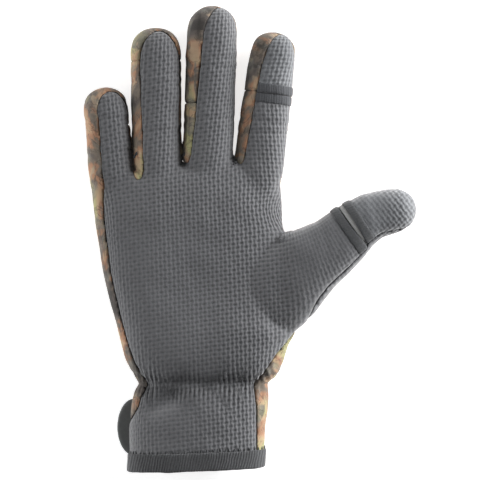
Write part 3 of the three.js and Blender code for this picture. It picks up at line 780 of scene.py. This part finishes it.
def lay_cloth(piece, lean):
    mesh = piece.data
    flat = cloth_coordinates(points_of(piece), lean) * MM
    layer = mesh.uv_layers.new(name=CLOTH_MAP)
    corners = np.empty(len(mesh.loops), int)
    mesh.loops.foreach_get("vertex_index", corners)
    layer.uv.foreach_set("vector", flat[corners].astype(np.float32).ravel())


print("the index finger's cloth leans by", CLOTH_LEAN["index"])

# %% [markdown]
# ## Where the weave is calm and where the wrist is painted darker
# A hem presses the ribs flat. Over the thumb's ball and the left of the palm they are calmed too,
# flatter and with fainter painted light, as where light grazes them less. The elastic packs the
# cloth into pleats, and painted shade darkens its band and the pleats. The finish could look for
# such places by their coordinates, but the shader would grow hard to read. So every point of a
# panel carries two numbers that the finish looks up.

# %% Note the calm cloth and the wrist's painted shade
SLITS = {  # a slit's middle, its heading in degrees, the calm cloth's length below and above it
    "index": ((41.9, 83.9), 82.7, 5.2, 5.0),
    "thumb": ((88.1, 11.8), 33.7, 14.0, 9.0),
}
BALL_CALM = 0.78  # over the ball of the thumb
BALL_FLANK_LOSS = 0.35  # how much less towards its lower flank
PALM_CALM = 0.42  # over the left of the palm
SLIT_HALF = 20  # beyond this distance across, a slit has no effect
WRIST_SHADE_BANDS = [(0.5, 1, 6.0), (0.8, -4, 4.5)]  # darkness of the painted shade, place above the elastic, width


def stretched(points):
    """How far the ribs are calmed, flatter and with fainter painted light and shade, as where light
    grazes them less: most over the thumb's ball and the left of the palm.
    """
    x, y, _ = points.T
    _, across, _, _ = along_thumb(points)
    ball = soft_step(x, 50, 60) * (BALL_CALM - BALL_FLANK_LOSS * soft_step(across, 2, 14))
    ball *= soft_step(-x, -112, -98)
    palm = PALM_CALM * soft_step(-x, -24, 4) * soft_step(-y, -30, -5)
    return np.maximum(ball, palm)


def calm_places(points):
    """Where the ribs lie flat and lose their painted light and shade: near a slit, where the cloth
    is turned in, and over the thumb's ball and the left of the palm."""
    calm = stretched(points)
    for (x, y), heading, below, above in SLITS.values():
        turn = math.radians(heading)
        dx, dy = points[:, 0] - x, points[:, 1] - y
        along = dx * math.cos(turn) + dy * math.sin(turn)
        across = np.abs(dy * math.cos(turn) - dx * math.sin(turn))
        reach = np.where(along < 0, below, above)
        pressed = soft_step(-np.abs(along) / reach, -1, -0.3) * (across < SLIT_HALF)
        calm = np.maximum(calm, pressed)
    return calm


def note(piece, name, values):
    """Stores one number for each point under a name that a finish can look up."""
    layer = piece.data.attributes.new(name, "FLOAT", "POINT")
    layer.data.foreach_set("value", values.astype(np.float32))


def wrist_shade_share(points):
    """1 at the elastic, where painted shade stands for the shade between its pleats and partly for
    its dark stitches; 0 away from them.
    """
    from_wrist = points[:, 1] - WRIST_Y
    return sum(share * bell(from_wrist - y, width) for share, y, width in WRIST_SHADE_BANDS)


CALM = "calm"
WRIST_SHADE_NAME = "gather"

for node in ("palm_panel", "index_cap", "thumb_cap", "back_panel"):
    panel = panels[node]
    lay_cloth(panel, CLOTH_LEAN | ({"index": CAP_LEAN} if node == "index_cap" else {}))
    note(panel, CALM, calm_places(points_of(panel)))
    note(panel, WRIST_SHADE_NAME, wrist_shade_share(points_of(panel)))
print("pattern laid on", len(panels["palm_panel"].data.loops), "corners")

# %% [markdown]
# ## The grip cloth
# The palm is of grey foam cloth that is knitted in ribs, crossed by bars and dotted with small
# pits. Modelled one by one they would be thousands of faces for each finger, so they are bump, with
# painted highlights on the ribs and bars and painted shade in the pits. Two cosine waves multiplied
# give a field that is high at every second crossing of a grid, which is just how the pits are
# staggered, and a little noise keeps the rows from looking ruled.


# %% Grip cloth
PIT_PITCH = 2.3 * MM
RIB_SLANT = 0.034
ROW_SLANT = 0.13
RIB = (0.45, 0.15)  # height of a rib, and its painted highlight
PIT = (0.2, 0.1)  # depth of a pit, and its painted shade
BAR = (0.35, 0.13)  # height of a bar, and its painted highlight
GRAIN = (0.25, 0.34)
GROUND_TONE = 0.34
PATCH_TONE = 0.14
CALMING = 0.85  # the share of the weave, in relief and in painted light and shade, that calm cloth loses
RIB_SWAY = 0.14  # in ribs
WRIST_SHADE_TONE = (0.16, 0.12)  # painted shade of the elastic's band, and of each pleat in it


def grip_cloth(name, base, bright):
    finish = Finish(name)
    u, v = finish.cloth_place()
    place = finish.place()
    # Calm cloth loses part of its relief and of its painted highlights and shade.
    lively = 1 - finish.add("Attribute", {"attribute_name": CALM}, output="Fac") * CALMING
    drift = finish.noise(place, 0.009, 2.0) - 0.5
    i = (u + v * RIB_SLANT) / PIT_PITCH + drift * 0.3
    j = (v - u * ROW_SLANT) / PIT_PITCH + (finish.noise(place, 0.007, 2.0) - 0.5) * 0.4
    row_wave = (j * math.pi).cos()
    sway = row_wave * (i * math.pi).sin() * RIB_SWAY
    rib = ((i - sway) * (2 * math.pi)).cos() * -0.5
    pit = ((i * math.pi).cos() * row_wave).over(0.25, 1.0)
    bars = (j * (2 * math.pi)).cos() * -0.5
    grain = finish.noise(place, 0.0006, 2.0)
    patch = finish.noise(place, 0.025, 2.0)
    height = (rib * RIB[0] - pit * PIT[0] + bars * BAR[0]) * lively + grain * GRAIN[0]
    # The ribs and bars are painted lighter and the pits darker: painted highlight and painted shade
    # over the bump.
    painted_weave_light = (rib * RIB[1] - pit * PIT[1] + bars * BAR[1]) * lively
    # Painted shade at the wrist: the elastic's band and ticks along it are darkened for the shade
    # between the pleats, and partly for its dark stitches.
    gather = finish.add("Attribute", {"attribute_name": WRIST_SHADE_NAME}, output="Fac")
    pleats = gather * (WRIST_SHADE_TONE[0] + (i * (2 * math.pi)).cos() * WRIST_SHADE_TONE[1])
    shade = painted_weave_light + grain * GRAIN[1] + patch * PATCH_TONE + GROUND_TONE - pleats
    tone = finish.blend(shade.over(0.0, 1.0), base, bright)
    return finish.wear(tone, 0.6 + grain * 0.2, height, 0.0005, sheen=0.5, specular=0.5)


GRIP = grip_cloth("grip_cloth", (0.022, 0.0225, 0.025), (0.17, 0.173, 0.184))
# The fold-back tips get a lighter copy of the grip cloth: painted light, for the stronger light that
# reaches them.
LIT_TIP_GRIP = grip_cloth("grip_cloth_tips_painted_lighter", (0.027, 0.0285, 0.032), (0.205, 0.214, 0.228))
print("a pit every", PIT_PITCH / MM, "mm, and the fold-back tips a little lighter")

# %% [markdown]
# ## The lining and the printed back
# Inside, the foam is faced with plain dark jersey, which shows in the cuff and the slits. Outside,
# the back is printed with a woodland pattern. Such a print could be an image, but an image has a
# size and an edge. Noise has neither: a ramp over broad noise gives the bark's colours, and leaf
# blots, thin twigs, pale flecks and dark veins are blended over it, the large ones first.


# %% Lining
def lining_cloth():
    finish = Finish("lining_jersey")
    place = finish.place()
    grain = finish.noise(place, 0.0009, 2.0)
    tone = finish.blend(grain, (0.03, 0.031, 0.034), (0.075, 0.077, 0.082))
    return finish.wear(tone, 0.95, grain, 0.0002, sheen=0.2, specular=0.2)


LINING = lining_cloth()
print("the lining is", LINING.name)

# %% Woodland print
BARK = [  # place on the ramp, colour
    (0.36, (0.045, 0.04, 0.037)),
    (0.43, (0.13, 0.11, 0.098)),
    (0.48, (0.21, 0.17, 0.13)),
    (0.52, (0.41, 0.21, 0.12)),
    (0.57, (0.5, 0.34, 0.21)),
    (0.64, (0.43, 0.41, 0.2)),
]
LEAVES = [
    (0.35, (0.06, 0.055, 0.05)),
    (0.5, (0.2, 0.19, 0.17)),
    (0.65, (0.33, 0.3, 0.2)),
]
VEIN_WIDTH = 0.028  # as a difference of the noise


def blot(finish, place, grain, shift, low, high, warp):
    """Blots about as big as grain, in metres, whose edges run from low to high in the noise."""
    moved = finish.add("Mapping", inputs={"Vector": place, "Location": shift})
    return finish.noise(moved, grain, 3.0, 0.5, warp).over(low, high)


def tone_steps(finish, value, stops):
    """A ramp of colours over a number."""
    return finish.add("ValToRGB", {"stops": stops}, [value])


def printed_cloth():
    finish = Finish("woodland_print")
    place = finish.place()
    broad = finish.noise(place, 0.042, 5.0, 0.58, 1.0)
    tone = tone_steps(finish, broad, BARK)
    leaf = blot(finish, place, 0.024, (2.3, 1.9, 1.4), 0.53, 0.59, 1.2)
    leaf_place = finish.add("Mapping", inputs={"Vector": place, "Location": (0.4, 0.1, 0.7)})
    inside = finish.noise(leaf_place, 0.008, 4.0, 0.6)
    tone = finish.blend(leaf * 0.8, tone, tone_steps(finish, inside, LEAVES))
    twig_place = finish.add("Mapping", inputs={"Vector": place, "Scale": (1.0, 0.22, 1.0)})
    twig = blot(finish, twig_place, 0.006, (5.3, 2.3, 0.7), 0.54, 0.66, 1.5)
    tone = finish.blend(twig * 0.5, tone, (0.035, 0.03, 0.027))
    fleck = blot(finish, place, 0.012, (1.3, 4.3, 2.7), 0.58, 0.68, 1.0)
    tone = finish.blend(fleck * 0.55, tone, (0.52, 0.4, 0.27))
    vein_place = finish.add("Mapping", inputs={"Vector": place, "Location": (0.7, 0.2, 0.1)})
    ridges = finish.noise(vein_place, 0.013, 3.0, 0.55, 1.5)
    beside = (ridges - 0.5).size().over(0.0, VEIN_WIDTH)
    tone = finish.blend((1 - beside) * 0.55, tone, (0.05, 0.042, 0.036))
    grain = finish.noise(place, 0.0006, 2.0)
    tone = finish.blend(grain * 0.2, tone, (0.16, 0.15, 0.14))
    return finish.wear(tone, 0.85, grain, 0.00012, sheen=0.15, specular=0.3)


PRINT = printed_cloth()
print("the print has", len(PRINT.node_tree.nodes), "shader nodes")

# %% [markdown]
# ## Dressing the panels
# Each panel has two sides, and the print or the grip is only on the outer one. The sides could be
# two meshes, but a sheet of foam is one piece. So a face takes the lining when it looks towards the
# middle of its finger, thumb or palm. Under the thumb the grip cloth is turned round the edge.


# %% Tell the sides apart
LINING_TURN = -0.35  # a face that looks inwards by more than this is lining
THUMB_STRIP = 2  # the third material of the printed back


def turned_under_thumb(points):
    """Where grip cloth is turned round the thumb's lower edge, on the back's side of the seam."""
    _, across, height, half = along_thumb(points)
    x, y, z = points.T
    return (x > 54) & (y > -37) & (across > half * 0.5) & (z > height - 9)


def outer_and_lining(piece, outer):
    """Gives each face its material and counts the faces of the lining."""
    mesh = piece.data
    mesh.materials.append(outer)
    mesh.materials.append(LINING)
    count = len(mesh.polygons)
    centres, normals = np.empty(count * 3), np.empty(count * 3)
    mesh.polygons.foreach_get("center", centres)
    mesh.polygons.foreach_get("normal", normals)
    outward = from_inside(centres.reshape(-1, 3) / MM)
    outward /= np.linalg.norm(outward, axis=1)[:, None] + 1e-9
    inner = (normals.reshape(-1, 3) * outward).sum(1) < LINING_TURN
    index = inner.astype(np.int32)
    if outer == PRINT:
        mesh.materials.append(GRIP)
        index[turned_under_thumb(centres.reshape(-1, 3) / MM) & ~inner] = THUMB_STRIP
    mesh.polygons.foreach_set("material_index", index)
    mesh.update()
    return int(inner.sum())


def outer_finish(node, slot):
    if slot != "grip_cloth":
        return PRINT
    return LIT_TIP_GRIP if node.endswith("_cap") else GRIP


print("a face turned inwards by", -LINING_TURN, "or more is lining")

# %% Dress the panels
for node, (name, _, slot) in PANELS.items():
    piece = panels[node]
    lined = outer_and_lining(piece, outer_finish(node, slot))
    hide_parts(node)
    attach(piece, "root")
    print(name, "has", lined, "lining faces")

# %% [markdown]
# ## Hems, binding and strap
# The slits of the two fold-back tips end in narrow rolled hems of dark cloth, a ribbed tape is
# folded round the hem of the cuff, and a smooth strap with a round pull end lies behind it. Each
# could be swept along a curve, but the CAD nodes already run along the slits and the hem. So they
# are rounded like the panels, and one function makes their finishes, with ribs or without.


# %% Dark cloths
def dark_cloth(
    name,
    low,
    high,
    grain_size=0.0008,
    roughness=0.9,
    sheen=0.2,
    depth=0.0002,
    rib=0.0,
    across=(1, 0),
    relief=0.18,
):
    """Plain dark cloth; rib is the pitch of its ribs in metres, which repeat in direction across."""
    finish = Finish(name)
    place = finish.place()
    grain = finish.noise(place, grain_size, 2.0)
    patch = finish.noise(place, 0.012, 2.0)
    height = grain
    shade = grain * 0.7 + patch * 0.3
    if rib:
        x, y, _ = finish.parts(place)
        wander = (finish.noise(place, 0.006, 1.0) - 0.5) * 0.9
        wave = ((x * (across[0] / rib) + y * (across[1] / rib) + wander) * (2 * math.pi)).cos()
        height = grain * 0.6 + wave * (relief * 2.8)
        # The ribs' crests are painted lighter and their grooves darker: painted highlight and
        # painted shade over the bump.
        shade = shade + wave * relief
    tone = finish.blend(shade, low, high)
    return finish.wear(tone, roughness, height, depth, sheen=sheen, specular=0.3)


INDEX_HEM = dark_cloth(
    "index_hem_cloth", (0.04, 0.042, 0.047), (0.105, 0.108, 0.116), rib=0.0013, relief=0.07
)
THUMB_HEM = dark_cloth(
    "thumb_hem_cloth",
    (0.045, 0.047, 0.05),
    (0.115, 0.118, 0.123),
    rib=0.0013,
    across=(-0.3, 0.95),
    relief=0.05,
)
FACING = dark_cloth("facing_jersey", (0.24, 0.24, 0.24), (0.42, 0.42, 0.415), 0.0006)
TAPE = dark_cloth(
    "binding_tape",
    (0.03, 0.031, 0.033),
    (0.12, 0.122, 0.128),
    grain_size=0.0009,
    rib=0.0014,
    across=(0.98, -0.2),
)
STRAP = dark_cloth(
    "strap_cloth",
    (0.11, 0.116, 0.115),
    (0.16, 0.168, 0.167),
    grain_size=0.0015,
    roughness=0.6,
    sheen=0.05,
    depth=0.00005,
)
HOOKS = dark_cloth("hook_pad", (0.012, 0.012, 0.013), (0.05, 0.05, 0.053), 0.0007, rib=0.0012)
print(len(bpy.data.materials), "finishes so far")

# %% Draw the lips of a slit together
TRIM = {  # CAD node: name, voxel, swelling, material, slot
    "index_cap_hem": ("index_cap_rolled_hem", 0.35, 0.35, INDEX_HEM, "hem_cloth"),
    "index_slit_hem": ("index_slit_rolled_hem", 0.35, 0.35, INDEX_HEM, "hem_cloth"),
    "thumb_cap_hem": ("thumb_cap_rolled_hem", 0.35, 0.25, THUMB_HEM, "hem_cloth"),
    "thumb_slit_hem": ("thumb_slit_rolled_hem", 0.35, 0.25, THUMB_HEM, "hem_cloth"),
    "thumb_slit_facing": ("thumb_slit_jersey_edge", 0.35, 0.3, FACING, "facing_cloth"),
    "hem_binding": ("cuff_binding", 0.55, 0.1, TAPE, "binding_tape"),
    "wrist_strap": ("strap_with_pull_end", 0.6, 0.0, STRAP, "strap_cloth"),
    "hook_patch": ("hook_pad_under_cuff", 0.4, 0.0, HOOKS, "hook_pad"),
}
LIPS = {  # CAD node: slit, slide along the finger at the slit's upper and lower end, rise
    "index_cap_hem": ("index", -0.35, -0.35, 0.0),
    "index_slit_hem": ("index", 0.35, 0.35, 0.0),
    "thumb_cap_hem": ("thumb", 0.0, -0.9, 0.0),
    "thumb_slit_hem": ("thumb", 0.15, 1.3, 0.0),
    "thumb_slit_facing": ("thumb", -0.95, -0.3, 0.25),
}
TUCK = 0.8  # how far a hem's outer edge lies over the cloth beside it
STRIP_END_DROP = 2.2  # how far the light strip sinks at the slit's closed end


def draw_together(piece, slit, upper, lower, rise):
    """Slides a slit's lip along the finger, so that the slit narrows to one end."""
    points = points_of(piece)
    (x, y), heading, _, _ = SLITS[slit]
    turn = math.radians(heading)
    across = (points[:, 1] - y) * math.cos(turn) - (points[:, 0] - x) * math.sin(turn)
    along = (points[:, 0] - x) * math.cos(turn) + (points[:, 1] - y) * math.sin(turn)
    reach = np.abs(along)
    at_lip = np.clip((reach.max() - reach) / (reach.max() - reach.min()), 0, 1)
    slide = (upper + (lower - upper) * soft_step(-across, -4, 11)) * at_lip
    slide += np.sign(np.mean(along)) * TUCK * (1 - at_lip)
    points[:, 0] += slide * math.cos(turn)
    points[:, 1] += slide * math.sin(turn)
    points[:, 2] += rise * soft_step(points[:, 2], 14, 24)
    if rise:
        points[:, 2] -= STRIP_END_DROP * soft_step(-across, 7, 11)
    move_points(piece, points)


print(len(LIPS), "lips at", len(SLITS), "slits")

# %% Make the trims
LIP_SMOOTHING = (30, 0.0)  # rounds, and how far from a cut the smoothing starts
PLAIN_SMOOTHING = (12, 0.2)
TRIM_FADE = 1.5
TRIM_REGAIN = 0.05
FLAT_TRIMS = ("wrist_strap", "hook_patch")

for node, (name, voxel, swell, material, slot) in TRIM.items():
    rounds, keep = LIP_SMOOTHING if node in LIPS else PLAIN_SMOOTHING
    piece = cloth_panel(node, name, voxel, rounds, keep, TRIM_FADE, TRIM_REGAIN, swell)
    if node not in FLAT_TRIMS:
        push_folds(piece)
    if node in LIPS:
        draw_together(piece, *LIPS[node])
    piece.data.materials.append(material)
    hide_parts(node)
    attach(piece, "root")

# %% [markdown]
# ## Stitches over the binding's edge
# A row of overlock stitches holds the tape: short threads that lean to and fro over its edge. A
# texture could draw them, but their ends break the edge's outline. So each is a small stretched
# ball, and a ray from outside finds the cloth that it lies on.

# %% Find the cloth round the cuff
CUFF_CENTRE = (1.5, 17.0)  # x and z of the cuff's middle
RAY_START = 80  # from the cuff's middle
CUFF_REACH = 45  # what lies further out isn't the cuff


def cloth_point(angle, y):
    """The cuff's outermost surface in a direction round its middle, and the normal there."""
    middle = Vector((CUFF_CENTRE[0], y, CUFF_CENTRE[1])) * MM
    outward = Vector((math.cos(angle), 0, math.sin(angle)))
    hits = []
    for node in ("palm_panel", "back_panel"):
        start = middle + outward * RAY_START * MM
        found, spot, normal, _ = panels[node].ray_cast(start, -outward)
        if found and (spot - middle).length < CUFF_REACH * MM:
            hits.append(((spot - middle).length, spot, normal))
    return max(hits)[1:] if hits else (None, None)


print("the cuff's front is at", round(cloth_point(math.pi / 2, -105)[0].z / MM, 1), "mm")

# %% Lay the stitches
STITCH_COUNT = 84
STITCH = (0.45, 1.9, 0.45)  # half sizes
STITCH_Y = -107.75  # the row's place in front of the cuff's middle
EDGE_SLOPE = math.tan(math.radians(2))
HALF_CUFF = 36
STITCH_LEAN = 0.35
STITCH_LIFT = 0.15
TABLE_CLEARANCE = 1.5  # no thread lies lower than this

stitches = []
nothing_selected()
for k in range(STITCH_COUNT):
    angle = 2 * math.pi * (k + 0.5) / STITCH_COUNT
    spot, normal = cloth_point(angle, STITCH_Y + EDGE_SLOPE * HALF_CUFF * math.cos(angle))
    if spot is None or spot.z < TABLE_CLEARANCE * MM:
        continue
    bpy.ops.mesh.primitive_uv_sphere_add(segments=6, ring_count=5, radius=1.0)
    ball = bpy.context.object
    along = Vector((STITCH_LEAN * (-1) ** k, 1, 0))
    side = normal.cross(along).normalized()
    along = side.cross(normal).normalized()
    for vertex in ball.data.vertices:
        x, length, height = (value * half * MM for value, half in zip(vertex.co, STITCH))
        vertex.co = spot + side * x + along * length + normal * (height + STITCH_LIFT * MM)
    stitches.append(ball)
print(len(stitches), "stitches laid")


# %% Join small pieces into one
def joined(parts, name, material, node):
    nothing_selected()
    for part in parts:
        part.select_set(True)
    bpy.context.view_layer.objects.active = parts[0]
    bpy.ops.object.join()
    bpy.ops.object.shade_smooth()
    piece = parts[0]
    piece.name = piece.data.name = name
    piece.data.materials.append(material)
    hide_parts(node)
    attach(piece, "root")


joined(stitches, "binding_overlock_stitches", TAPE, "hem_binding")
print("the stitches are one piece of", len(stitches[0].data.polygons), "faces")

# %% [markdown]
# ## Knots where the fingers part
# The seams of two fingers meet at each crotch, and the thread is knotted there. A curve could
# follow the thread, but at this size only its lumps show. So each knot is a few small dark balls
# on the cloth, and a ray from above finds its height.

# %% Knots at the crotches
KNOTS = {  # x and y of each crotch
    "little_ring": (-29.5, 50.5),
    "ring_middle": (-3.9, 50.0),
    "middle_index": (24.0, 47.5),
}
BALLS = 5  # in each knot
ABOVE_GLOVE = 60
LEAST_HEIGHT = 14.0  # of a ball beside the cloth
RANDOM_SEED = 11

knots = []
nothing_selected()
source = random.Random(RANDOM_SEED)
for x, y in KNOTS.values():
    for _ in range(BALLS):
        dx, dy = source.uniform(-1.1, 1.1), source.uniform(-2.6, 1.4)
        start = Vector((x + dx, y + dy, ABOVE_GLOVE)) * MM
        heights = [LEAST_HEIGHT * MM]
        for panel in panels.values():
            found, spot, _, _ = panel.ray_cast(start, Vector((0, 0, -1)))
            if found:
                heights.append(spot.z)
        bpy.ops.mesh.primitive_ico_sphere_add(subdivisions=2, radius=1.0)
        ball = bpy.context.object
        size = Vector((source.uniform(0.6, 0.9), source.uniform(0.8, 1.3), 0.6))
        for vertex in ball.data.vertices:
            vertex.co = start.xy.to_3d() + Vector(a * b * MM for a, b in zip(vertex.co, size))
            vertex.co.z += max(heights)
        knots.append(ball)
joined(knots, "crotch_thread_knots", TAPE, "palm_panel")
print(len(knots), "balls of thread")
